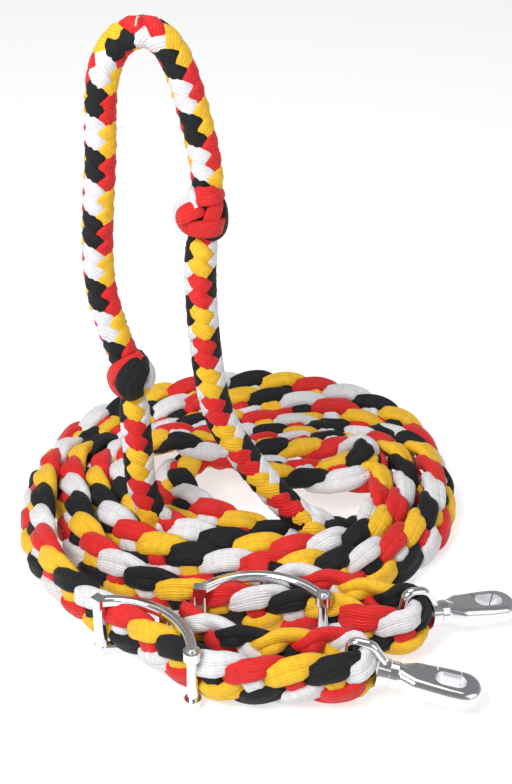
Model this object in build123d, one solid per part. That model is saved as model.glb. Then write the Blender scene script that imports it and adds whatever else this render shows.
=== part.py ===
from build123d import *
import os
from math import cos, radians, sin, tan

# A braided four-cord rein, stored as a loose coil with its round grip standing up in an arch.
# Frame: millimetres, +Z up, +X to the right, +Y away from the front. Z = 0 is the surface it
# lies on, and the origin is on the coil's underside. Both ends lie along the front, each one
# doubled through a swivel snap and back to a slide buckle.

# Driving dimensions of the braid
ROUND_BRAID = 17.0          # diameter of the round braid of the grip and its two legs
STRAP_WIDTH = 22.0          # flat braid where it passes through the buckles
STRAP_THICK = 8.4
TAIL_WIDTH = 17.0           # gathered where it folds through the snap's eye
STRAP_MID_Z = 17.3          # the straps stand on edge, held by the hardware
KNOT_SIZE = (26.0, 23.0, 28.0)
COIL_CENTRE = (-13.0, 42.0)
COIL_RADII = (113.0, 88.0)  # outer ellipse of the coil
HOLE_CENTRE = (6.0, 44.0)
HOLE_RADII = (39.0, 28.0)   # the open middle of the coil
COIL_HEIGHT = 28.0
COIL_ROUNDING = 6.0
LIMP_ARC = 0.45             # share of the shorter run that each rounded corner takes

# Driving dimensions of the slide buckles, which take a 25 mm strap
BUCKLE_SPAN = 60.0          # between the axes of the two end bars
BUCKLE_HEIGHT = 34.0
BUCKLE_BOW = 14.0           # how far the rails bow back from the end bars
RAIL_HEIGHT = 5.2
RAIL_DEPTH = 5.2
RAIL_ROUNDING = 1.8
BAR_DIAMETER = 5.4
BAR_END_GAP = 0.6           # the centre bar stops this far inside the rails' outer faces
END_BAR = (6.2, 5.0)        # cast end bar, along and across the strap
END_BAR_ROUNDING = 1.8
ROD_BOSS = 1.4              # wall of the boss that holds the end rod
ROD_HEAD = 1.2              # how far the rod stands above the upper boss
ROD_ROUNDING = 1.6

# Driving dimensions of the swivel snaps. u runs along the snap, v across it, w is its flat normal
EYE_BAND = (5.2, 4.0)       # section of the eye's band, across v and square to it
EYE_HALF = 14.6             # half the height of the eye, to the band's axis
EYE_SIDE = 10.5             # straight length of the eye's two sides
EYE_LENGTH = 17.5           # from the eye's bar to its boss
EYE_NECK = 7.0              # half the height of the eye where it meets the boss
EYE_CORNERS = [4, 4, 5, 3, 3, 5]
EYE_MID_Z = 18.6
BOSS_RADII = (7.6, 6.6)     # beside the eye, and where it faces the hook
STEM_DIAMETER = 4.0
HEAD = (29.0, 31.6, 6.0)    # u of the head's two faces, and its diameter
HEAD_ROOM = 0.4             # how much wider and longer the head's cavity is
SWIVEL_PLANE = 21.0         # where the eye's boss faces the hook's neck
SWIVEL_GAP = 0.3
RUNNING = 0.05              # radial clearance of a turning fit
BODY_ROUNDS = [(27.5, 5.5), (35.0, 8.6), (49.0, 9.6), (55.5, 9.5)]   # u and radius of its outline
BODY_THICK = 10.4
BODY_ROUNDING = 3.4
NECK = (25.0, 30.0, 6.4, 5.0)     # u where its taper begins and ends, and its two radii
THROAT = (49.5, 9.0, 15.0)  # u of its middle, its width and its length
PIVOT = (36.5, 2.4)
GATE_START = 42.5
GATE_LOW = 2.0              # the gate opens the body outwards from this v
GATE_REACH = 18.0           # radius of the gate's far end about the pivot
GATE_GAP = 0.4
RIVET_DIAMETER = 3.0
HUB_RADIUS = 4.2
TRIGGER_NOSE = (51.2, 7.0, 2.2)   # centre and radius of the lever's rounded end
TRIGGER_THICK = 4.6
SLOT = (32.0, -2.6, 24.0, 16.0, 5.2)   # the trigger's slot: first u, first v, length, width, thickness
SPRING = (5.4, 3.4, 1.2)    # outer and inner diameter and height of the torsion spring
SPRING_ROOM = 0.3

# Where the hardware lies: buckle end bars on the surface, and the eye bar of each snap
BUCKLES = {"a": ((-30.5, -76.0), (29.2, -82.2)), "b": ((-79.0, -84.5), (-33.0, -123.0))}
SNAPS = {"a": ((66.5, -80.5, EYE_MID_Z), 22.0, -11.0), "b": ((38.6, -114.1, EYE_MID_Z), -11.0, -8.0)}

# Routes, from the coil to each end
LEFT_LEG = [
    (-51, -14, 18), (-58, -12, 33), (-63, -9, 49), (-63.5, -6, 65), (-64.5, -3, 80), (-65.5, 1, 105),
]
RIGHT_LEG = [
    (23, -12, 18), (12, -9, 32), (-2, -6, 51), (-15, -4, 70), (-24, -3, 90), (-28, -1, 118),
    (-30, 1, 146), (-30.5, 3, 171), (-27, 5, 194),
]
GRIP = [
    (-65.5, 1, 105), (-70, 2, 120), (-74.5, 3, 134), (-79, 5, 152), (-80, 7, 172), (-78.5, 9, 197),
    (-76, 11, 223), (-75.5, 13, 246), (-73, 14, 264), (-66, 15, 276.5), (-54, 15, 281.5), (-43.5, 14, 275.5),
    (-37.5, 13, 262.5), (-32.5, 11, 245), (-28.5, 9, 228), (-26, 7, 212), (-27, 5, 194),
]
STRAPS = {
    "a": [(-101, 14), (-97, -14), (-84, -36), (-68, -50), (-51, -61), (-33.8, -68.7), (33.9, -75.7),
          (42, -82), (50, -89), (57, -89.4)],
    "b": [(-120, 22), (-118.5, -8), (-110, -36), (-94, -60), (-77.6, -76.6), (-25.5, -120.3),
          (-13, -123.2), (4, -124.6), (17, -123.2), (29, -123)],
}
TAILS = {
    "a": [(57, -89.4), (74.9, -89.4), (74.9, -71.6), (57, -71.6), (45, -66), (32, -61), (18, -56),
          (2.2, -55)],
    "b": [(29, -123), (46.4, -123), (46.4, -105.2), (29, -105.2), (17, -106), (4, -106.5), (-9, -104.5),
          (-25, -95), (-40.5, -85)],
}
FOLD_RADIUS = 8.8           # the strap folds flat round the eye's bar


def corner_radii(points, fold=None):
    """Each corner's arc, as large as its two runs allow, or the fold's radius at its two corners."""
    radii = []
    for i in range(1, len(points) - 1):
        before = points[i] - points[i - 1]
        after = points[i + 1] - points[i]
        turn = before.get_angle(after)
        radius = LIMP_ARC * min(before.length, after.length) / tan(radians(turn / 2))
        if fold and i <= 2:
            radius = fold
        radii.append(radius)
    return radii


def route_path(name, points, fold=None):
    """Straight runs joined by tangent arcs through the route's points."""
    points = [Vector(*p) for p in points]
    radii = corner_radii(points, fold)
    print(name, "radii", [round(r) for r in radii])
    return FilletPolyline(*points, radius=radii)


def swept(name, path, section):
    """The section carried along the path, with its volume compared with its area times the length."""
    start = Plane(origin=path @ 0, z_dir=path % 0, x_dir=(path % 0).cross(Vector(0, 0, 1)))
    face = start * section
    solid = sweep(face, path=path)
    share = solid.volume / (face.area * path.length)
    print(name, "length", round(path.length, 1), "volume share", round(share, 3))
    return solid


def round_braid(name, points):
    return swept(name, route_path(name, points), Circle(ROUND_BRAID / 2))


def strap(name, points, width, fold=None):
    """Flat braid standing on edge, along a level route."""
    level = [(x, y, STRAP_MID_Z) for x, y in points]
    return swept(name, route_path(name, level, fold), Rectangle(STRAP_THICK, width))


def knot(centre):
    """A rounded knot that the braid passes through."""
    long, deep, tall = KNOT_SIZE
    ball = scale(Sphere(0.5), by=(long, deep, tall))
    return Pos(*centre) * ball


def coil():
    """The coil's outer shape, open in the middle."""
    ring = Pos(*COIL_CENTRE) * Ellipse(*COIL_RADII) - Pos(*HOLE_CENTRE) * Ellipse(*HOLE_RADII)
    return fillet(extrude(ring, COIL_HEIGHT).edges().group_by(Axis.Z)[-1], COIL_ROUNDING)


def buckle_frame_of(first, last):
    """The buckle's own frame: x along the strap, y to its back, z up from the surface."""
    a = Vector(*first)
    b = Vector(*last)
    return Location(Plane(origin=(a + b) / 2, x_dir=b - a, z_dir=(0, 0, 1)))


def bar(x, y, low, high):
    upright = (Align.CENTER, Align.CENTER, Align.MIN)
    return Pos(x, y, low) * Cylinder(BAR_DIAMETER / 2, high - low, align=upright)


def bowed_rail(low):
    """One rail: an arched band from the cast end bar to the end rod."""
    half = BUCKLE_SPAN / 2
    middle = ThreePointArc((-half, 0), (0, BUCKLE_BOW), (half, 0))
    start = Plane(origin=middle @ 0, z_dir=middle % 0, x_dir=(0, 0, 1))
    band = sweep(start * RectangleRounded(RAIL_HEIGHT, RAIL_DEPTH, RAIL_ROUNDING), path=middle)
    boss = Pos(half, 0) * Cylinder(BAR_DIAMETER / 2 + ROD_BOSS, RAIL_HEIGHT)
    corner = Pos(-half, 0) * Box(END_BAR[0], END_BAR[1], RAIL_HEIGHT)
    return Pos(0, 0, low + RAIL_HEIGHT / 2) * (band + boss + corner)


def buckle(first, last):
    """Slide buckle: one cast frame with bowed rails, a centre bar and a round end rod."""
    half = BUCKLE_SPAN / 2
    top = BUCKLE_HEIGHT
    end_bar = Pos(-half, 0, top / 2) * Box(END_BAR[0], END_BAR[1], top)
    end_bar = fillet(end_bar.edges().filter_by(Axis.Z), END_BAR_ROUNDING)
    centre_bar = bar(0, BUCKLE_BOW, BAR_END_GAP, top - BAR_END_GAP)
    rod = bar(half, 0, 0, top + ROD_HEAD)
    rod = fillet(rod.edges().filter_by(GeomType.CIRCLE).group_by(Axis.Z)[-1], ROD_ROUNDING)
    frame = end_bar + bowed_rail(0) + bowed_rail(top - RAIL_HEIGHT) - centre_bar - rod
    place = buckle_frame_of(first, last)
    return {"frame": place * frame, "centre_bar": place * centre_bar, "end_rod": place * rod}


def snap_place(origin, yaw, pitch):
    """The snap's own frame, with u along the snap from the eye's bar to the hook's tip."""
    turn = radians(yaw)
    tilt = radians(pitch)
    along = Vector(cos(turn) * cos(tilt), sin(turn) * cos(tilt), sin(tilt))
    across = Vector(-sin(turn), cos(turn), 0)
    return Location(Plane(origin=origin, x_dir=along, z_dir=along.cross(across)))


def along_u(start, end, radius, end_radius=None):
    """A round piece on the snap's axis, from u = start to u = end."""
    length = end - start
    if end_radius is None:
        shape = Cylinder(radius, length)
    else:
        shape = Cone(radius, end_radius, length)
    return Pos((start + end) / 2, 0, 0) * Rot(0, 90, 0) * shape


def at_pivot(radius, height, raised=0.0):
    """A round piece about the trigger's pivot."""
    return Pos(PIVOT[0], PIVOT[1], raised) * Cylinder(radius, height)


def swivel_eye():
    """Upright eye whose boss and headed stem turn in the hook's neck."""
    outline = [
        (0, -EYE_HALF), (0, EYE_HALF), (EYE_SIDE, EYE_HALF),
        (EYE_LENGTH, EYE_NECK), (EYE_LENGTH, -EYE_NECK), (EYE_SIDE, -EYE_HALF),
    ]
    points = [Vector(u, 0, w) for u, w in outline]
    path = FilletPolyline(*points, radius=EYE_CORNERS, close=True)
    start = Plane(origin=path @ 0, z_dir=path % 0, x_dir=(0, 1, 0))
    ring = sweep(start * Ellipse(EYE_BAND[0] / 2, EYE_BAND[1] / 2), path=path)
    boss = along_u(EYE_LENGTH - EYE_BAND[1] / 2, SWIVEL_PLANE, *BOSS_RADII)
    stem = along_u(EYE_LENGTH, HEAD[1], STEM_DIAMETER / 2)
    head = along_u(HEAD[0], HEAD[1], HEAD[2] / 2)
    return ring + boss + stem + head


def hook_blank():
    """The hook's rounded body before anything is cut from it."""
    circles = [Pos(u, 0) * Circle(radius).edge() for u, radius in BODY_ROUNDS]
    body = extrude(make_hull(circles), BODY_THICK / 2, both=True)
    return fillet(body.edges(), BODY_ROUNDING)


def throat():
    middle, width, length = THROAT
    return extrude(Pos(middle, 0) * SlotOverall(length, width), BODY_THICK, both=True)


def gate(start, reach):
    """The room that the trigger fills in the body's far side, ending in an arc about the pivot."""
    span = PIVOT[0] + reach - start
    block = Pos(start, GATE_LOW, 0) * Box(
        span, reach, 2 * BODY_THICK, align=(Align.MIN, Align.MIN, Align.CENTER))
    return block & at_pivot(reach, 2 * BODY_THICK)


def trigger_slot():
    """Slot in the middle of the body's thickness, in which the trigger's arm turns."""
    u, v, length, width, thick = SLOT
    slot = Pos(u, v, 0) * Box(length, width, thick, align=(Align.MIN, Align.MIN, Align.CENTER))
    return slot & at_pivot(GATE_REACH, 2 * BODY_THICK)


def hook_body():
    """Hook cast in one piece: neck, slotted body and curved nose, open where the trigger closes it."""
    taper_start, taper_end, wide, narrow = NECK
    neck = along_u(SWIVEL_PLANE + SWIVEL_GAP, taper_start, wide)
    taper = along_u(taper_start, taper_end, wide, narrow)
    bore = along_u(SWIVEL_PLANE, HEAD[1], STEM_DIAMETER / 2 + RUNNING)
    cavity = along_u(HEAD[0] - HEAD_ROOM, HEAD[1] + HEAD_ROOM, (HEAD[2] + HEAD_ROOM) / 2)
    rivet_hole = at_pivot(RIVET_DIAMETER / 2, 2 * BODY_THICK)
    body = hook_blank() + neck + taper
    return body - throat() - gate(GATE_START, GATE_REACH) - trigger_slot() - bore - cavity - rivet_hole


def trigger():
    """Sprung lever that closes the throat, flush with the body where it fills the gate."""
    u, v, radius = TRIGGER_NOSE
    hub = Pos(*PIVOT) * Circle(HUB_RADIUS)
    nose = Pos(u, v) * Circle(radius)
    arm = extrude(make_hull([hub.edge(), nose.edge()]), TRIGGER_THICK / 2, both=True)
    block = hook_blank() & gate(GATE_START + GATE_GAP, GATE_REACH - GATE_GAP)
    hole = at_pivot(RIVET_DIAMETER / 2 + RUNNING, 2 * BODY_THICK)
    depth = SPRING[2] + SPRING_ROOM
    pocket = at_pivot(SPRING[0] / 2 + SPRING_ROOM, depth, (TRIGGER_THICK - depth) / 2)
    return arm + block - throat() - hole - pocket


def torsion_spring():
    outer, inner, height = SPRING
    raised = (TRIGGER_THICK - height) / 2
    return at_pivot(outer / 2, height, raised) - at_pivot(inner / 2, height, raised)


def rivet():
    """Pivot rivet, flush with both faces of the body."""
    return at_pivot(RIVET_DIAMETER / 2, BODY_THICK)


def snap(origin, yaw, pitch):
    place = snap_place(origin, yaw, pitch)
    pieces = {
        "swivel_eye": swivel_eye(),
        "hook": hook_body(),
        "trigger": trigger(),
        "trigger_spring": torsion_spring(),
        "rivet": rivet(),
    }
    return {name: place * shape for name, shape in pieces.items()}


def build():
    nodes = {
        "coil": coil(),
        "left_leg": round_braid("left_leg", LEFT_LEG),
        "right_leg": round_braid("right_leg", RIGHT_LEG),
        "grip": round_braid("grip", GRIP),
        "lower_knot": knot(GRIP[0]),
        "upper_knot": knot(GRIP[-1]),
    }
    for side in ("a", "b"):
        nodes["strap_" + side] = strap("strap_" + side, STRAPS[side], STRAP_WIDTH)
        nodes["tail_" + side] = strap("tail_" + side, TAILS[side], TAIL_WIDTH, FOLD_RADIUS)
        for name, shape in buckle(*BUCKLES[side]).items():
            nodes["buckle_" + name + "_" + side] = shape
        for name, shape in snap(*SNAPS[side]).items():
            nodes[name + "_" + side] = shape
    return nodes


os.makedirs("parts", exist_ok=True)
for node, shape in build().items():
    export_step(shape, os.path.join("parts", node + ".step"))
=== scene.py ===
"""A braided rein in four colours, coiled with its grip standing up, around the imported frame."""
import math

import bpy
import numpy as np
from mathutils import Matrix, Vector


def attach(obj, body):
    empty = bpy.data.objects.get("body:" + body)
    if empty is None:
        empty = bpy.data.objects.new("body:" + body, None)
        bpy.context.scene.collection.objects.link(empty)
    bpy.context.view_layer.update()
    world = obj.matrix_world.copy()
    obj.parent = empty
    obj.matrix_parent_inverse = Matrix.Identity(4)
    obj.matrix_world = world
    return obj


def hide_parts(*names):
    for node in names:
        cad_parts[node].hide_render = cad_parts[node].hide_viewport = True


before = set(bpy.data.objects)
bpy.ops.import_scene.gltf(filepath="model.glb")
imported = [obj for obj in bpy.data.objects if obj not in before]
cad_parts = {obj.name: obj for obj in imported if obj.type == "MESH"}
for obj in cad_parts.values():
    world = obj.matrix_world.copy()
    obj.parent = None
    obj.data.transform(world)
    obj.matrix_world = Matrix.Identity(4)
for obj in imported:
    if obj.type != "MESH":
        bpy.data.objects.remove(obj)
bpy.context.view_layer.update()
MM = 0.001

# ---------------------------------------------------------------- the rope's route, in metres
# The grip goes from the lower knot, on its left, over the top to the upper knot, on its right.
# Side A goes down from the upper knot, round the coil and out to snap A, and side B from the
# lower knot to snap B. Each strap folds back at its snap's eye and ends at its buckle's centre bar.
GRIP = [
    (-0.0655, 0.001, 0.105), (-0.070, 0.002, 0.120), (-0.0745, 0.003, 0.134), (-0.079, 0.005, 0.152),
    (-0.080, 0.007, 0.172), (-0.0785, 0.009, 0.197), (-0.076, 0.011, 0.223), (-0.0755, 0.013, 0.246),
    (-0.073, 0.014, 0.264), (-0.066, 0.015, 0.2765), (-0.054, 0.015, 0.2815), (-0.0435, 0.014, 0.2755),
    (-0.0375, 0.013, 0.2625), (-0.0325, 0.011, 0.245), (-0.0285, 0.009, 0.228), (-0.026, 0.007, 0.212),
    (-0.027, 0.005, 0.194),
]
LEFT_LEG = [
    (-0.0645, -0.003, 0.080), (-0.0635, -0.006, 0.065), (-0.063, -0.009, 0.049), (-0.058, -0.012, 0.033),
    (-0.051, -0.014, 0.018),
]
RIGHT_LEG = [
    (-0.0305, 0.003, 0.171), (-0.030, 0.001, 0.146), (-0.028, -0.001, 0.118), (-0.024, -0.003, 0.090),
    (-0.015, -0.004, 0.070), (-0.002, -0.006, 0.051), (0.012, -0.009, 0.034),
]
COIL_A = [
    (0.024, -0.012, 0.025), (0.036, -0.015, 0.018), (0.040, -0.016, 0.011), (0.030, -0.015, 0.008),
    (0.012, -0.013, 0.010), (-0.010, -0.008, 0.012), (-0.030, 0.002, 0.014), (-0.046, 0.017, 0.015),
    (-0.052, 0.037, 0.015), (-0.042, 0.058, 0.015), (-0.020, 0.070, 0.014), (0.005, 0.072, 0.016),
    (0.028, 0.071, 0.017), (0.049, 0.069, 0.018), (0.062, 0.058, 0.021), (0.060, 0.044, 0.022),
    (0.044, 0.037, 0.020), (0.022, 0.041, 0.017), (-0.002, 0.050, 0.016), (-0.026, 0.059, 0.020),
    (-0.048, 0.067, 0.027), (-0.068, 0.064, 0.024), (-0.080, 0.050, 0.018), (-0.0815, 0.028, 0.017),
    (-0.075, 0.008, 0.017), (-0.055, -0.014, 0.018), (-0.028, -0.030, 0.019), (0.000, -0.037, 0.019),
    (0.028, -0.035, 0.018), (0.055, -0.022, 0.016), (0.075, 0.005, 0.015), (0.083, 0.038, 0.014),
    (0.075, 0.072, 0.014), (0.052, 0.097, 0.014), (0.020, 0.112, 0.015), (-0.015, 0.113, 0.015),
    (-0.055, 0.104, 0.014), (-0.088, 0.084, 0.014), (-0.105, 0.058, 0.015), (-0.108, 0.034, 0.016),
]
COIL_B = [
    (-0.038, -0.024, 0.008), (-0.014, -0.028, 0.007), (0.014, -0.028, 0.007), (0.040, -0.019, 0.009),
    (0.060, 0.000, 0.011), (0.069, 0.030, 0.014), (0.063, 0.060, 0.014), (0.042, 0.082, 0.014),
    (0.012, 0.093, 0.014), (-0.020, 0.094, 0.014), (-0.055, 0.086, 0.014), (-0.083, 0.068, 0.015),
    (-0.0945, 0.040, 0.016), (-0.089, 0.008, 0.017), (-0.070, -0.022, 0.017), (-0.038, -0.042, 0.017),
    (-0.010, -0.049, 0.017), (0.018, -0.050, 0.017), (0.048, -0.043, 0.016), (0.075, -0.023, 0.015),
    (0.092, 0.005, 0.014), (0.098, 0.038, 0.014), (0.090, 0.075, 0.014), (0.068, 0.105, 0.014),
    (0.035, 0.125, 0.015), (0.000, 0.131, 0.016), (-0.040, 0.125, 0.015), (-0.080, 0.106, 0.014),
    (-0.108, 0.077, 0.014), (-0.120, 0.050, 0.015),
]
STRAP_A = [
    (-0.101, 0.014, 0.0173), (-0.097, -0.014, 0.0173), (-0.084, -0.036, 0.0173), (-0.068, -0.050, 0.0173),
    (-0.051, -0.061, 0.0173), (-0.0338, -0.0687, 0.0173), (0.000, -0.0722, 0.0173),
    (0.0339, -0.0757, 0.0173), (0.042, -0.082, 0.0173), (0.050, -0.089, 0.0173), (0.057, -0.0894, 0.0173),
    (0.0749, -0.0894, 0.0173), (0.0749, -0.0716, 0.0173), (0.057, -0.0716, 0.0173), (0.045, -0.066, 0.0173),
    (0.032, -0.061, 0.0173), (0.018, -0.056, 0.0173), (0.0022, -0.055, 0.0173),
]
STRAP_B = [
    (-0.120, 0.022, 0.0173), (-0.1185, -0.008, 0.0173), (-0.110, -0.036, 0.0173), (-0.094, -0.060, 0.0173),
    (-0.0776, -0.0766, 0.0173), (-0.051, -0.0989, 0.0173), (-0.0255, -0.1203, 0.0173),
    (-0.013, -0.1232, 0.0173), (0.004, -0.1246, 0.0173), (0.017, -0.1232, 0.0173), (0.029, -0.123, 0.0173),
    (0.0464, -0.123, 0.0173), (0.0464, -0.1052, 0.0173), (0.029, -0.1052, 0.0173), (0.017, -0.106, 0.0173),
    (0.004, -0.1065, 0.0173), (-0.009, -0.1045, 0.0173), (-0.025, -0.095, 0.0173), (-0.0405, -0.085, 0.0173),
]
SIDE_A = RIGHT_LEG + COIL_A + STRAP_A
SIDE_B = LEFT_LEG + COIL_B + STRAP_B
ROUTE = SIDE_A[::-1] + GRIP[::-1] + SIDE_B
LEFT_SIDE = (-0.0768, 0.0105, 0.216)       # the point of the grip from which its pattern is counted
COIL_MIDDLE = np.array([-0.013, 0.042, 0.0])

# ---------------------------------------------------------------- sizes of the braid, in metres
SAMPLE = 0.002                  # spacing of the rings along the rope
CURVE_STEPS = 14                # points of a smooth line between two of its control points
LINE_BLUR = 0.003
RING_POINTS = 20
COLOURS = ("white", "black", "yellow", "red")

FLAT_HALF = 0.0092              # how far a pair's axis swings to each side in the flat braid
FLAT_WAVE = 0.0032              # how far it rises and dives there
FLAT_TURN = 0.075               # length of one cycle of a pair
FLAT_CORD = (0.0080, 0.0064)    # width and thickness of a cord
FLAT_PAIR = 0.0017              # from a pair's middle to either cord's
FLAT_TILT = 0.75                # how much a cord faces outwards at the braid's edges

ROUND_RADIUS = 0.0050           # axis of a cord in the round braid, from the rope's axis
ROUND_WAVE = 0.0010             # how far a cord dives under and over there
ROUND_TURN = 0.0330             # length of one turn of a cord
ROUND_CORD = (0.0080, 0.0036)
ROUND_STEEPNESS = 1.6           # how suddenly a cord changes from over to under

# Share of a cord's usual size where it dives, and what it gains where it floats on top.
FLAT_SWELL = (0.74, 0.36)
ROUND_SWELL = (0.86, 0.20)
THICK_SWELL = (0.90, 0.16)
PUFFY, RIBBON = 0.85, 0.65      # power of a cord's section: near 1 is an ellipse, less is a flat band
PAIR_WANDER = 0.35              # how unevenly a pair's two cords lie apart, as a share
WANDER_LENGTH = 0.017
WANDER_STEP = 2.3
COLOUR_SEED = 1.7               # steps by which the creases differ from cord to cord
HALF_SEED = 0.9
BAND_SEED = 1.3

GRIP_PHASE = 4.03               # turn of the round braid at LEFT_SIDE
TIGHT_TURN = 1.7                # extra turn that the arch's top takes
TIGHT_REACH = 0.045             # half the length over which it takes it
LEG_TURN = 1.4                  # extra turn hidden in the upper knot
KNOT_CHANGE = 0.006             # half the length over which a pattern changes inside a knot
KNOT_SQUEEZE = 0.72             # size of the rope inside a knot, of its usual size
KNOT_FULL = 0.0072              # how far from a knot's middle the rope has that size
KNOT_FADE = 0.0084              # length over which it swells out again

# A side of the rope becomes round over ROUND_CHANGE, beginning ROUND_LEAD outside the leg's foot.
ROUND_LEAD = 0.010
ROUND_CHANGE = 0.035

# The flat braid's face leans outwards from straight up by these angles in the coil, and less in
# its inner turns. It turns to stand on edge in the straps, and to the front in the legs.
FRONT_LEAN = math.radians(58)
BACK_LEAN = math.radians(-32)
BACK_START, BACK_SPREAD = 0.055, 0.05
INNER_SHARE = 0.45
INNER_RADIUS, INNER_SPREAD = 0.055, 0.02
STRAP_DELAY, STRAP_CHANGE = 0.05, 0.06
LEG_CHANGE = 0.05
FACE_BLUR = 0.008

# ---------------------------------------------------------------- surface of a cord
FLOOR_PRESS = 0.003             # height over which the rope flattens on to the floor
CREASES = 3                     # creases round a cord, which wander as they run along it
CREASE_DEPTH = 0.11
CREASE_SHARPNESS = 4
RIDGES = 7
RIDGE_DEPTH = 0.02
RIDGE_DRIFT = 0.7               # how far the ridges follow the creases
CREASE_DRIFT = ((1.5, 0.023, 1.0), (0.9, 0.0091, 2.1))   # angle, length and share of the seed
UV_PER_METRE = 100
CAP_UV = 0.1


# ---------------------------------------------------------------- small tools
def smooth(x):
    x = np.clip(x, 0.0, 1.0)
    return x * x * (3 - 2 * x)


def unit(v):
    return v / np.maximum(np.linalg.norm(v, axis=-1, keepdims=True), 1e-12)


def without(direction, axis):
    """This direction turned square to the axis."""
    return unit(direction - np.sum(direction * axis, 1, keepdims=True) * axis)


def blur(values, spread):
    """Moving average along the first axis, with the ends held."""
    reach = max(1, int(spread / SAMPLE))
    kernel = np.hanning(2 * reach + 1)
    kernel = kernel / kernel.sum()
    padded = np.pad(values, [(reach, reach)] + [(0, 0)] * (values.ndim - 1), mode="edge")
    if values.ndim == 1:
        return np.convolve(padded, kernel, mode="valid")
    columns = [np.convolve(column, kernel, mode="valid") for column in padded.T]
    return np.stack(columns, 1)


def spline_points(points):
    """Points along one smooth NURBS line with these control points."""
    curve = bpy.data.curves.new("line", "CURVE")
    curve.dimensions = "3D"
    curve.resolution_u = CURVE_STEPS
    spline = curve.splines.new("NURBS")
    spline.points.add(len(points) - 1)
    for control, point in zip(spline.points, points):
        control.co = (*point, 1.0)
    spline.order_u = 3
    spline.use_endpoint_u = True
    holder = bpy.data.objects.new("line", curve)
    mesh = bpy.data.meshes.new_from_object(holder)
    line = np.array([vertex.co for vertex in mesh.vertices])
    bpy.data.meshes.remove(mesh)
    bpy.data.objects.remove(holder)
    bpy.data.curves.remove(curve)
    return line


def even(line, spacing):
    """The same line with evenly spaced points, and the distance of each along it."""
    steps = np.linalg.norm(np.diff(line, axis=0), axis=1)
    along = np.concatenate([[0.0], np.cumsum(steps)])
    count = int(along[-1] / spacing) + 1
    distances = np.linspace(0.0, along[-1], count)
    return np.stack([np.interp(distances, along, line[:, i]) for i in range(3)], 1), distances


def nearest(line, point, first=0, last=None):
    """Index of the line's point nearest to this one, from first up to last."""
    return first + int(np.argmin(np.linalg.norm(line[first:last] - np.array(point), axis=1)))


def add_object(name, verts, faces, uvs=None, indices=None, materials=()):
    """A smooth-shaded mesh object, with UVs for each corner and a material index for each face."""
    mesh = bpy.data.meshes.new(name)
    mesh.from_pydata([tuple(v) for v in verts], [], faces)
    for material in materials:
        mesh.materials.append(material)
    if uvs is not None:
        layer = mesh.uv_layers.new(name="along")
        layer.data.foreach_set("uv", np.array(uvs, dtype=np.float32).ravel())
    if indices is not None:
        mesh.polygons.foreach_set("material_index", np.array(indices, dtype=np.int32))
    mesh.polygons.foreach_set("use_smooth", np.ones(len(mesh.polygons), dtype=bool))
    mesh.update()
    obj = bpy.data.objects.new(name, mesh)
    bpy.context.scene.collection.objects.link(obj)
    return obj


# ---------------------------------------------------------------- materials
BUMP_DISTANCE = 0.0006


def principled(name):
    material = bpy.data.materials.new(name)
    material.use_nodes = True
    nodes = material.node_tree.nodes
    return material, nodes, material.node_tree.links, nodes["Principled BSDF"]


def band_texture(nodes, links, uv, direction, scale, distortion):
    """Soft bands across this direction of the UVs."""
    wave = nodes.new("ShaderNodeTexWave")
    wave.wave_type = "BANDS"
    wave.bands_direction = direction
    wave.inputs["Scale"].default_value = scale
    wave.inputs["Distortion"].default_value = distortion
    links.new(uv.outputs["UV"], wave.inputs["Vector"])
    return wave


def noise_texture(nodes, links, coordinates, scale, detail):
    texture = nodes.new("ShaderNodeTexNoise")
    texture.inputs["Scale"].default_value = scale
    texture.inputs["Detail"].default_value = detail
    links.new(coordinates, texture.inputs["Vector"])
    return texture


def scaled_sum(nodes, links, scaled, share, added):
    """The first texture times its share, plus the second texture."""
    node = nodes.new("ShaderNodeMath")
    node.operation = "MULTIPLY_ADD"
    node.inputs[1].default_value = share
    links.new(scaled.outputs["Fac"], node.inputs[0])
    links.new(added.outputs["Fac"], node.inputs[2])
    return node


def add_bump(nodes, links, height, strength, shader):
    bump = nodes.new("ShaderNodeBump")
    bump.inputs["Strength"].default_value = strength
    bump.inputs["Distance"].default_value = BUMP_DISTANCE
    links.new(height, bump.inputs["Height"])
    links.new(bump.outputs["Normal"], shader.inputs["Normal"])


def cord_material(name, colour, shaded_colour, roughness, sheen):
    """Flat knitted nylon cord: ribs, small crosswise stitches, and painted shade in rib grooves and folds.
    """
    material, nodes, links, shader = principled(name)
    shader.inputs["Roughness"].default_value = roughness
    shader.inputs["Sheen Weight"].default_value = sheen
    shader.inputs["Sheen Roughness"].default_value = 0.45
    shader.inputs["Specular IOR Level"].default_value = 0.35
    uv = nodes.new("ShaderNodeUVMap")
    uv.uv_map = "along"
    ribs = band_texture(nodes, links, uv, "X", scale=7.0, distortion=2.2)
    ribs.inputs["Detail"].default_value = 1.0
    ribs.inputs["Detail Scale"].default_value = 1.5
    knit = band_texture(nodes, links, uv, "Y", scale=24.0, distortion=2.0)
    fold_shade = noise_texture(nodes, links, uv.outputs["UV"], scale=5.0, detail=3.0)

    # Painted shade: the colour darkens towards its shaded copy in the grooves between ribs and in soft
    # folds.
    shade = scaled_sum(nodes, links, ribs, 0.40, fold_shade)
    shade.use_clamp = True
    mix = nodes.new("ShaderNodeMix")
    mix.data_type = "RGBA"
    mix.inputs["A"].default_value = (*shaded_colour, 1.0)
    mix.inputs["B"].default_value = (*colour, 1.0)
    links.new(shade.outputs["Value"], mix.inputs["Factor"])
    links.new(mix.outputs["Result"], shader.inputs["Base Color"])

    weave = scaled_sum(nodes, links, knit, 0.12, ribs)
    add_bump(nodes, links, weave.outputs["Value"], 0.45, shader)
    return material


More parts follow.
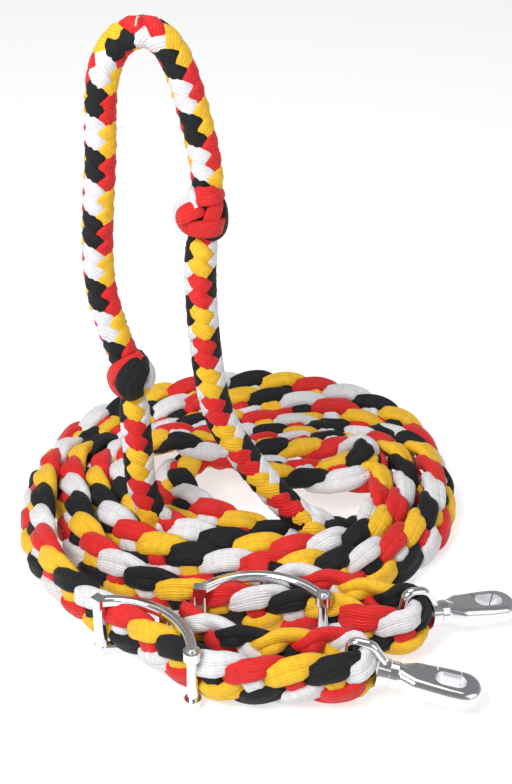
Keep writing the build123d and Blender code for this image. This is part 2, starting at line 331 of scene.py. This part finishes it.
def metal_material(name, colour, roughness):
    """Polished metal with faint casting waves and an uneven polish."""
    material, nodes, links, shader = principled(name)
    shader.inputs["Base Color"].default_value = (*colour, 1.0)
    shader.inputs["Metallic"].default_value = 1.0
    place = nodes.new("ShaderNodeTexCoord")
    waves = noise_texture(nodes, links, place.outputs["Object"], scale=60.0, detail=4.0)
    polish = nodes.new("ShaderNodeMapRange")
    polish.inputs["To Min"].default_value = roughness * 0.6
    polish.inputs["To Max"].default_value = roughness * 1.7
    links.new(waves.outputs["Fac"], polish.inputs["Value"])
    links.new(polish.outputs["Result"], shader.inputs["Roughness"])
    add_bump(nodes, links, waves.outputs["Fac"], 0.12, shader)
    return material


# Each cord: its colour, a darker copy of it used as painted shade, roughness and sheen.
CORDS = {
    "white": cord_material("white_cord", (0.84, 0.83, 0.84), (0.50, 0.49, 0.53), 0.62, 0.20),
    "black": cord_material(
        "black_cord", (0.0048, 0.0055, 0.0085), (0.0015, 0.0015, 0.0025), 0.66, 0.02),
    "yellow": cord_material("yellow_cord", (0.95, 0.58, 0.020), (0.64, 0.30, 0.007), 0.60, 0.08),
    "red": cord_material("red_cord", (0.78, 0.016, 0.014), (0.42, 0.005, 0.007), 0.58, 0.08),
}
CHROME = metal_material("polished_plate", (0.80, 0.81, 0.83), 0.10)
SPRING_STEEL = metal_material("spring_steel", (0.55, 0.56, 0.58), 0.30)


# ---------------------------------------------------------------- one cord's tube
def crease_profile(angle, along, seed):
    """Share of a cord's size at each point of each ring: long creases that wander, and ridges."""
    drift = sum(
        turn * np.sin(along / length + share * seed) for turn, length, share in CREASE_DRIFT)
    crease = np.cos(CREASES * angle[None, :] + drift[:, None])
    depth = CREASE_DEPTH * np.clip(crease, 0, 1) ** CREASE_SHARPNESS
    ridges = RIDGE_DEPTH * np.sin(RIDGES * angle[None, :] + RIDGE_DRIFT * drift[:, None])
    return 1 - depth * np.abs(np.sin(angle))[None, :] + ridges


def tube_faces(rings):
    """Quads between the rings, and a face over each end."""
    here = np.arange(RING_POINTS)
    beside = (here + 1) % RING_POINTS
    ring = np.arange(rings - 1)[:, None] * RING_POINTS
    corners = [ring + here, ring + beside, ring + beside + RING_POINTS, ring + here + RING_POINTS]
    faces = [tuple(quad) for quad in np.stack(corners, -1).reshape(-1, 4).tolist()]
    faces.append(tuple(range(RING_POINTS)))
    last = (rings - 1) * RING_POINTS
    faces.append(tuple(last + i for i in range(RING_POINTS - 1, -1, -1)))
    return faces


def tube_uvs(along):
    """U once round the cord and V along it, for each corner of the tube's faces."""
    start = along[:-1, None] * UV_PER_METRE + np.zeros(RING_POINTS)
    end = start + SAMPLE * UV_PER_METRE
    left = np.arange(RING_POINTS) / RING_POINTS + np.zeros_like(start)
    right = np.arange(1, RING_POINTS + 1) / RING_POINTS + np.zeros_like(start)
    sides = np.stack([left, start, right, start, right, end, left, end], -1).reshape(-1, 2)
    return np.concatenate([sides, np.full((2 * RING_POINTS, 2), CAP_UV)])


def cord_tube(path, outward, width, thick, seed, power):
    """One puffy flattened cord along its path: vertices, faces and UVs."""
    tangent = unit(np.gradient(path, axis=0))
    up = without(outward, tangent)
    side = np.cross(tangent, up)
    angle = np.linspace(0, 2 * math.pi, RING_POINTS, endpoint=False)
    power = np.broadcast_to(power, (len(path),))[:, None]
    across = np.sign(np.cos(angle)) * np.abs(np.cos(angle)) ** power
    over = np.sign(np.sin(angle)) * np.abs(np.sin(angle)) ** power
    along = np.arange(len(path)) * SAMPLE
    profile = crease_profile(angle, along, seed)
    x = across * width[:, None] / 2 * profile
    y = over * thick[:, None] / 2 * profile
    verts = path[:, None, :] + side[:, None, :] * x[:, :, None] + up[:, None, :] * y[:, :, None]
    return verts.reshape(-1, 3), tube_faces(len(path)), tube_uvs(along)


def above_floor(verts):
    """Vertices near the floor pressed flat on to it, as a soft rope's underside is."""
    height = verts[:, 2]
    verts[:, 2] = 0.5 * (height + np.sqrt(height ** 2 + FLOOR_PRESS ** 2))
    return verts


class Bundle:
    """Cords gathered into one mesh, each with its colour's material."""

    def __init__(self):
        self.verts = []
        self.faces = []
        self.uvs = []
        self.indices = []
        self.count = 0

    def add(self, colour, path, outward, width, thick, seed, power):
        verts, faces, uvs = cord_tube(path, outward, width, thick, seed, power)
        self.verts.append(verts)
        self.faces += [tuple(v + self.count for v in face) for face in faces]
        self.uvs.append(uvs)
        self.indices += [COLOURS.index(colour)] * len(faces)
        self.count += len(verts)

    def build(self, name):
        materials = [CORDS[colour] for colour in COLOURS]
        verts = above_floor(np.concatenate(self.verts))
        return add_object(name, verts, self.faces, np.concatenate(self.uvs), self.indices, materials)


# ---------------------------------------------------------------- the rope's line and face
def rope_line():
    """Points along the rope, their distances along it and its direction at each."""
    line, distances = even(spline_points(ROUTE), SAMPLE)
    return line, distances, unit(blur(np.gradient(line, axis=0), LINE_BLUR))


LINE, S, TANGENT = rope_line()


def marks():
    """Distances along the rope at which its stretches begin and end."""
    top = nearest(LINE, GRIP[len(GRIP) // 2])
    upper = nearest(LINE, GRIP[-1], 0, top)
    lower = nearest(LINE, GRIP[0], top)
    at = {
        "coil_a_end": nearest(LINE, COIL_A[-1], 0, upper),
        "foot_a": nearest(LINE, COIL_A[1], 0, upper),
        "upper_knot": upper,
        "top": top,
        "left_side": nearest(LINE, LEFT_SIDE, top),
        "lower_knot": lower,
        "foot_b": nearest(LINE, LEFT_LEG[-1], lower),
        "coil_b_end": nearest(LINE, COIL_B[-1], lower),
    }
    return {name: S[i] for name, i in at.items()}


MARKS = marks()


def passed(mark, reach):
    """0 before this mark and 1 after it, changing within this reach on both sides of it."""
    return smooth((S - MARKS[mark] + reach) / (2 * reach))


def between_feet(lead, change):
    """1 in the legs and grip and 0 in the coil. It changes from this far outside each leg's foot."""
    rising = smooth((S - MARKS["foot_a"] + lead) / change)
    falling = smooth((MARKS["foot_b"] + lead - S) / change)
    return rising * falling


def coil_face():
    """The braid's face in the coil: up, and leaning out at the front and in at the back."""
    radial = LINE - COIL_MIDDLE
    radial[:, 2] = 0
    back = smooth((LINE[:, 1] - BACK_START) / BACK_SPREAD)
    outer = smooth((np.linalg.norm(radial, axis=1) - INNER_RADIUS) / INNER_SPREAD)
    lean = FRONT_LEAN * (1 - back) + BACK_LEAN * back
    lean = lean * (INNER_SHARE + (1 - INNER_SHARE) * outer)
    up = np.array([0.0, 0.0, 1.0])
    return up * np.cos(lean)[:, None] + unit(radial) * np.sin(lean)[:, None]


def strap_face():
    """The braid's face in the straps, which stand on edge: level and square to the strap."""
    sign = np.where(S < MARKS["upper_knot"], -1.0, 1.0)[:, None]
    return unit(np.cross(TANGENT, np.array([0.0, 0.0, 1.0]))) * sign


def face_direction():
    """Which way the braid's flat face looks, all along the rope."""
    front = np.array([0.0, -1.0, 0.0])
    strap_a = smooth((MARKS["coil_a_end"] - STRAP_DELAY - S) / STRAP_CHANGE)
    strap_b = smooth((S - MARKS["coil_b_end"] - STRAP_DELAY) / STRAP_CHANGE)
    strap = np.maximum(strap_a, strap_b)[:, None]
    upright = between_feet(0.0, LEG_CHANGE)[:, None]
    face = coil_face() * (1 - strap) + strap_face() * strap
    face = face * (1 - upright) + front * upright
    return without(unit(blur(face, FACE_BLUR)), TANGENT)


FACE = face_direction()
SIDE = np.cross(TANGENT, FACE)
ROUND = between_feet(ROUND_LEAD, ROUND_CHANGE)      # 1 where the braid is round and 0 where flat


def in_section(offset):
    """An offset across and up in the rope's section, as one in space."""
    return SIDE * offset[:, :1] + FACE * offset[:, 1:]


def mixed(flat, rounded):
    """The flat braid's value where the braid is flat, and the round braid's where it is round."""
    share = ROUND[:, None] if np.ndim(flat) == 2 else ROUND
    return flat * (1 - share) + rounded * share


def summed(rate):
    """Running total of a rate along the rope."""
    return np.concatenate([[0.0], np.cumsum(0.5 * (rate[1:] + rate[:-1]) * np.diff(S))])


# ---------------------------------------------------------------- the braid's patterns
def round_turn():
    """How far the round braid's cords have turned about the rope, in radians."""
    in_grip = (S > MARKS["upper_knot"]) & (S < MARKS["lower_knot"])
    turned = summed(np.where(in_grip, 2 * math.pi, -2 * math.pi) / ROUND_TURN)
    turned = turned - turned[S >= MARKS["left_side"]][0] + GRIP_PHASE
    turned = turned - TIGHT_TURN * (1 - passed("top", TIGHT_REACH))
    return turned - LEG_TURN * (1 - passed("upper_knot", KNOT_CHANGE))


def grip_twist():
    """Turn of the round braid's faces about the rope, in radians, from (distance, degrees) steps."""
    steps = [
        (0.0, -90), (MARKS["upper_knot"], -90), (MARKS["upper_knot"] + 0.010, -25),
        (MARKS["top"] - 0.03, -25), (MARKS["top"] + 0.02, 35),
        (MARKS["lower_knot"] - 0.010, 25), (MARKS["lower_knot"], 90), (S[-1], 90),
    ]
    distances, degrees = zip(*steps)
    return np.radians(np.interp(S, distances, degrees))


def knot_squeeze():
    """Size of the rope along its length: smaller inside the two knots."""
    size = np.ones_like(S)
    for name in ("upper_knot", "lower_knot"):
        near = 1 - smooth((np.abs(S - MARKS[name]) - KNOT_FULL) / KNOT_FADE)
        size = size - (1 - KNOT_SQUEEZE) * near
    return size


CYCLES = summed(1 / mixed(FLAT_TURN, ROUND_TURN))
TURNED = round_turn()
SWAP = math.pi * passed("lower_knot", KNOT_CHANGE)
TWIST = grip_twist()
SIZE = knot_squeeze()


class Periodic:
    """A smooth function of period 1 through (phase, value) points, level at its turning points."""

    def __init__(self, points):
        phases = [phase for phase, _ in points]
        values = [value for _, value in points]
        self.phases = np.array([phases[-1] - 1] + phases + [phases[0] + 1])
        self.values = np.array([values[-1]] + values + [values[0]], dtype=float)
        rise = np.diff(self.values) / np.diff(self.phases)
        before = np.concatenate([[rise[-2]], rise])
        after = np.concatenate([rise, [rise[1]]])
        same = before * after > 0
        mean = 2 * before * after / np.where(same, before + after, 1.0)
        self.slopes = np.where(same, mean, 0.0)

    def __call__(self, phase):
        phase = np.mod(phase - self.phases[1], 1.0) + self.phases[1]
        i = np.searchsorted(self.phases, phase, side="right") - 1
        i = np.clip(i, 0, len(self.phases) - 2)
        step = self.phases[i + 1] - self.phases[i]
        t = (phase - self.phases[i]) / step
        start = (2 * t ** 3 - 3 * t ** 2 + 1) * self.values[i]
        start_slope = (t ** 3 - 2 * t ** 2 + t) * step * self.slopes[i]
        end = (3 * t ** 2 - 2 * t ** 3) * self.values[i + 1]
        end_slope = (t ** 3 - t ** 2) * step * self.slopes[i + 1]
        return start + start_slope + end + end_slope


# A cord of the flat braid crosses quickly at phase 0: under the first cord it meets, over the
# next and under the last, and comes slowly back over, under and over.
SWING = Periodic([(0.0, 0.0), (0.075, 0.78), (0.155, 1.0), (0.27, 0.86), (0.5, 0.0),
                  (0.73, -0.86), (0.845, -1.0), (0.925, -0.78)])
RISE = Periodic([(0.0, 1.0), (0.07, -1.0), (0.25, 0.85), (0.37, 0.9), (0.5, -1.0),
                 (0.63, 0.9), (0.75, 0.85), (0.93, -1.0)])
PUFF = Periodic([(0.0, 0.45), (0.07, 0.0), (0.26, 1.0), (0.5, 0.0), (0.74, 1.0), (0.93, 0.0)])


def flat_cord(index):
    """Offset across and up, outward direction and puff of one pair in the flat braid."""
    phase = CYCLES + index / len(COLOURS)
    swing = SWING(phase)
    rise = RISE(phase)
    offset = np.stack([FLAT_HALF * swing, FLAT_WAVE * rise], 1)
    out = np.stack([FLAT_TILT * swing * rise, np.ones_like(swing)], 1)
    return offset, unit(out), PUFF(phase)


def round_cord(index, half):
    """Offset, outward direction and puff of one cord in the round braid, which has over two,
    under two. White and black turn one way, yellow and red the other, and yellow and red change
    places inside the lower knot."""
    colour = COLOURS[index]
    way = -1 if colour in ("white", "black") else 1
    first = math.pi * (colour in ("black", "yellow")) + math.pi / 2 * half
    angle = way * TURNED + first + (SWAP if way > 0 else 0)
    lift = -way * np.tanh(ROUND_STEEPNESS * np.cos(2 * angle - math.pi / 4))
    lift = lift / math.tanh(ROUND_STEEPNESS)
    radius = ROUND_RADIUS + ROUND_WAVE * lift
    turn = angle + TWIST - math.pi / 8
    out = np.stack([np.sin(turn), np.cos(turn)], 1)
    return out * radius[:, None], out, 0.5 + 0.5 * lift


# ---------------------------------------------------------------- the rope
def add_cord(bundle, index, half):
    """One of the two cords of this colour, from the rope's one end to its other."""
    flat_offset, flat_out, flat_puff = flat_cord(index)
    flat_path = LINE + in_section(flat_offset)
    flat_up = in_section(flat_out)
    flat_side = unit(np.cross(unit(np.gradient(flat_path, axis=0)), flat_up))
    wander = 1 + PAIR_WANDER * np.sin(S / WANDER_LENGTH + WANDER_STEP * index)
    apart = FLAT_PAIR * (2 * half - 1) * wander[:, None]
    round_offset, round_out, round_puff = round_cord(index, half)
    round_path = LINE + in_section(round_offset) * SIZE[:, None]

    path = mixed(flat_path + flat_side * apart, round_path)
    outward = blur(mixed(flat_up, in_section(round_out)), LINE_BLUR)
    puff = blur(mixed(flat_puff, round_puff), LINE_BLUR)
    swell = mixed(FLAT_SWELL[0] + FLAT_SWELL[1] * puff, ROUND_SWELL[0] + ROUND_SWELL[1] * puff)
    width = mixed(FLAT_CORD[0], ROUND_CORD[0]) * SIZE * swell
    thick = mixed(FLAT_CORD[1], ROUND_CORD[1]) * SIZE * (THICK_SWELL[0] + THICK_SWELL[1] * puff)
    seed = index * COLOUR_SEED + half * HALF_SEED
    bundle.add(COLOURS[index], path, outward, width, thick, seed, mixed(PUFFY, RIBBON))


def braid():
    """The eight cords of the whole rein, two of each colour, with a material for each colour."""
    bundle = Bundle()
    for index in range(len(COLOURS)):
        for half in (0, 1):
            add_cord(bundle, index, half)
    return bundle.build("braided_rope")


def snap_pieces(side):
    names = ("swivel_eye", "hook", "trigger", "trigger_spring", "rivet")
    return [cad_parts[name + "_" + side] for name in names]


def buckle_pieces(side):
    names = ("frame", "centre_bar", "end_rod")
    return [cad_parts["buckle_" + name + "_" + side] for name in names]


def finish_rope(rope):
    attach(rope, "rein")
    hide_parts("coil", "left_leg", "right_leg", "grip", "strap_a", "strap_b", "tail_a", "tail_b")


finish_rope(braid())


# ---------------------------------------------------------------- the two knots
KNOT_SAMPLE = SAMPLE * 0.6
KNOT_UPWARD = 0.35              # how much a band faces up or down rather than outwards
BAND_END = 0.75                 # a band's size at its ends, where it goes under, of its usual size
BAND_TAPER = 0.005

# Each band is (colour, width, thickness, points), in mm from the knot's middle.
UPPER_KNOT = [
    ("white", 4.4, 3.0, [
        (-1.9, 7.4, 11), (-7, 2.8, 12.7), (-7.2, -4.6, 13.6), (-6, -8, 11), (-5.2, -9.4, 7.5),
    ]),
    ("red", 9.0, 3.2, [
        (-5.8, 5.5, 11.3), (-6.4, -2, 12.1), (-4, -7.6, 12.8), (0, -9, 13), (3.4, -7.6, 13.2),
        (5.6, -2, 13), (4.4, 6, 12), (0, 8.7, 10.1), (-5.2, 6.4, 9.5),
    ]),
    ("white", 6.9, 3.8, [
        (-2.9, -1.8, 10.1), (-7.8, -2.8, 8.8), (-12.6, -2.3, 5.8), (-14.7, -1.8, 1.5),
        (-13.6, -1.4, -2.8), (-8.7, -0.9, -5.4), (-2.9, 1.8, -6.2),
    ]),
    ("black", 7.5, 3.0, [
        (2, -5.5, 9), (-0.5, -8.2, 5.4), (-1, -8.4, 1.4), (1, -7, -3),
    ]),
    ("red", 7.6, 3.4, [
        (5.6, -2.8, 11), (4.6, -7.4, 8.4), (3.4, -9.2, 4.8), (1.6, -9.4, 0.6), (0, -7.4, -4),
    ]),
    ("red", 8.8, 4.0, [
        (-0.6, -5.4, 6.7), (-3.6, -8.6, 6.9), (-8.1, -9.6, 5.8), (-11.9, -7.8, 2.2),
        (-11.8, -6.9, -1.7), (-8, -8.8, -3), (-2.9, -10.7, -2.8), (1.7, -11, -2.8),
        (5.4, -8.8, -3.1), (7.2, -2.8, -3.6), (6.2, 4.6, -3.6), (1.7, 8.7, -2.8), (-4.8, 7.4, -1.9),
    ]),
    ("black", 6.4, 3.6, [
        (1.7, 3.7, 10.1), (5.6, 1.8, 9.3), (7.6, -0.9, 5), (8.2, -2.3, -1.1), (7.4, -4.1, -6.2),
        (4.2, -6.9, -7.9), (0, -6.4, -8.8), (-3.9, -1.8, -9.7),
    ]),
    ("yellow", 7.3, 3.6, [
        (-7.8, 1.8, 5.8), (-5.8, 7.4, 5), (0, 9.8, 3.2), (5, 7.4, 2.4), (7.2, 1.8, 1.5),
    ]),
    ("black", 7.3, 3.4, [
        (-8.2, -1.8, -3.6), (-7.8, 5.5, -4.5), (-1.9, 9.2, -7.1), (4.2, 7.4, -7.9),
        (6.4, 0.9, -7.9),
    ]),
]
LOWER_KNOT = [
    ("red", 7.8, 4, [
        (2.6, 5.5, 11.2), (6.5, -1.8, 12.1), (3.4, -6.4, 12.6), (-1.4, -7.9, 11.6),
        (-6.4, -7.4, 8.1), (-9.2, -5.1, 3.1), (-8.8, -4.6, -1.4), (-6, -6.4, -4.5),
        (-0.9, -6.4, -6.8), (4.3, -3.7, -7.7),
    ]),
    ("black", 9, 4.7, [
        (6, 1.8, 11.2), (4.7, -6, 11.7), (0.9, -9.9, 9.7), (-2.2, -11.4, 5.8), (-2.8, -11, 1.3),
        (-0.9, -9.2, -3.2), (1.7, -6.4, -7.7), (2.6, -1.8, -9.5),
    ]),
    ("black", 9, 4.7, [
        (7.7, 0.9, 8.5), (7.1, -5.5, 9.4), (4.8, -10.1, 7.2), (2.9, -12, 3.1), (2.2, -11, -1.4),
        (2.6, -8.6, -5.9), (3, -4.6, -8.6),
    ]),
    ("white", 7.4, 4.1, [
        (1.7, 4.6, 10.3), (6.5, 0, 9.4), (9.6, -1.8, 5.4), (10.3, -2.8, 0.9), (8.9, -4.1, -2.3),
        (5.6, -6, -3.6), (0, -3.7, -4.1),
    ]),
    ("yellow", 6.9, 3.8, [
        (5.2, 4.6, 4), (8.6, 0, 1.3), (9.5, -2.8, -1.9), (7.3, -5.5, -4.6), (2.6, -6.4, -5.9),
        (-2.8, -4.6, -6.8),
    ]),
    ("red", 7.3, 3.8, [
        (6.9, 2.8, 4.9), (4.3, 8.3, 4), (-1.8, 9.6, 3.1), (-7.4, 5.5, 3.1), (-8.8, -0.9, 4),
    ]),
    ("white", 7.3, 3.8, [
        (7.7, 0, -3.2), (5.2, 6.4, -4.1), (-0.9, 9, -4.1), (-6.4, 5.5, -5), (-7.8, -0.9, -4.1),
    ]),
    ("black", 6.9, 3.6, [
        (4.3, 5.5, 10.3), (-0.9, 8.8, 9.4), (-6.4, 4.6, 8.5), (-7.8, -1.8, 7.6),
    ]),
]


def knot(name, node, middle, bands):
    """Cords tucked over and under each other around the rope, in one piece."""
    bundle = Bundle()
    middle = np.array(middle)
    for number, (colour, width, thick, points) in enumerate(bands):
        points = [middle + np.array(p) * MM for p in points]
        line, along = even(spline_points(points), KNOT_SAMPLE)
        outward = line - middle
        outward[:, 2] *= KNOT_UPWARD
        to_end = np.minimum(along, along[-1] - along)
        taper = BAND_END + (1 - BAND_END) * smooth(to_end / BAND_TAPER)
        width = width * MM * taper
        thick = thick * MM * taper
        bundle.add(colour, line, unit(outward), width, thick, BAND_SEED * number, RIBBON)
    piece = bundle.build(name)
    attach(piece, "rein")
    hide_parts(node)


knot("upper_grip_knot", "upper_knot", (-0.0265, 0.005, 0.194), UPPER_KNOT)
knot("lower_grip_knot", "lower_knot", (-0.066, 0.001, 0.106), LOWER_KNOT)

# ---------------------------------------------------------------- the thread on the grip
THREAD = [
    (-0.0558, 0.0120, 0.2880), (-0.0561, 0.0102, 0.2893), (-0.0566, 0.0075, 0.2886),
    (-0.0570, 0.0052, 0.2862),
]
THREAD_SAMPLE = SAMPLE * 0.25
THREAD_SIZE = 0.0008
THREAD_FACE = (0.0, -0.6, 0.8)


def thread_end():
    """The short end of white sewing thread that shows on top of the grip."""
    line, _ = even(spline_points(THREAD), THREAD_SAMPLE)
    size = np.full(len(line), THREAD_SIZE)
    outward = np.tile(THREAD_FACE, (len(line), 1))
    bundle = Bundle()
    bundle.add("white", line, outward, size, size, 0.0, PUFFY)
    piece = bundle.build("thread_end")
    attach(piece, "rein")


thread_end()


# ---------------------------------------------------------------- hardware
def plate_hardware():
    """Polished plate on the buckles and snaps, and spring steel on the snaps' springs."""
    for side in ("a", "b"):
        for node in snap_pieces(side) + buckle_pieces(side):
            material = SPRING_STEEL if "spring" in node.name else CHROME
            node.data.materials.clear()
            node.data.materials.append(material)


plate_hardware()


# ---------------------------------------------------------------- stage, light and camera
FLOOR_HALF = 3
CAMERA_RISE = math.radians(32)
CAMERA_PLACE = Vector((-0.0034, -0.697, 0.533))
CAMERA_LENS = 75.0
SENSOR_WIDTH = 36.0
LIGHT_AIM = (0, 0, 0.05)

# Name, place, size and energy of each soft light.
LIGHTS = [
    ("key", (-0.5, -0.6, 0.9), 0.5, 11.5),
    ("fill", (0.7, -0.4, 0.5), 0.7, 1.5),
    ("top", (0.0, 0.3, 1.0), 0.8, 3.0),
]


def stage():
    """A pale floor that glows a little, so that it stays white up to the horizon."""
    corners = [(-FLOOR_HALF, -FLOOR_HALF, 0), (FLOOR_HALF, -FLOOR_HALF, 0),
               (FLOOR_HALF, FLOOR_HALF, 0), (-FLOOR_HALF, FLOOR_HALF, 0)]
    floor = add_object("floor", corners, [(0, 1, 2, 3)])
    material, _, _, shader = principled("studio_floor")
    shader.inputs["Base Color"].default_value = (0.50, 0.50, 0.50, 1)
    shader.inputs["Roughness"].default_value = 0.9
    shader.inputs["Emission Color"].default_value = (1.0, 1.0, 1.0, 1)
    shader.inputs["Emission Strength"].default_value = 0.62
    floor.data.materials.append(material)


def sky():
    """Studio surround: white around the horizon and grey overhead, which the plated metal mirrors."""
    world = bpy.data.worlds.new("studio")
    world.use_nodes = True
    nodes = world.node_tree.nodes
    links = world.node_tree.links
    coords = nodes.new("ShaderNodeTexCoord")
    split = nodes.new("ShaderNodeSeparateXYZ")
    links.new(coords.outputs["Generated"], split.inputs["Vector"])
    ramp = nodes.new("ShaderNodeValToRGB")
    horizon, overhead = ramp.color_ramp.elements
    horizon.position = 0.10
    horizon.color = (1.0, 1.0, 1.0, 1)
    overhead.position = 0.62
    overhead.color = (0.56, 0.57, 0.58, 1)
    links.new(split.outputs["Z"], ramp.inputs["Fac"])
    links.new(ramp.outputs["Color"], nodes["Background"].inputs["Color"])
    nodes["Background"].inputs["Strength"].default_value = 0.42
    bpy.context.scene.world = world


def area_light(name, place, size, energy):
    data = bpy.data.lights.new(name, "AREA")
    data.size = size
    data.energy = energy
    light = bpy.data.objects.new(name, data)
    light.location = place
    light.rotation_euler = (Vector(LIGHT_AIM) - Vector(place)).to_track_quat("-Z", "Y").to_euler()
    bpy.context.scene.collection.objects.link(light)


def camera():
    data = bpy.data.cameras.new("camera")
    data.lens = CAMERA_LENS
    data.sensor_width = SENSOR_WIDTH
    view = bpy.data.objects.new("camera", data)
    view.location = CAMERA_PLACE
    view.rotation_euler = (math.pi / 2 - CAMERA_RISE, 0, 0)
    bpy.context.scene.collection.objects.link(view)
    bpy.context.scene.camera = view


stage()
sky()
for light_row in LIGHTS:
    area_light(*light_row)
camera()
bpy.context.scene.view_settings.view_transform = "Standard"
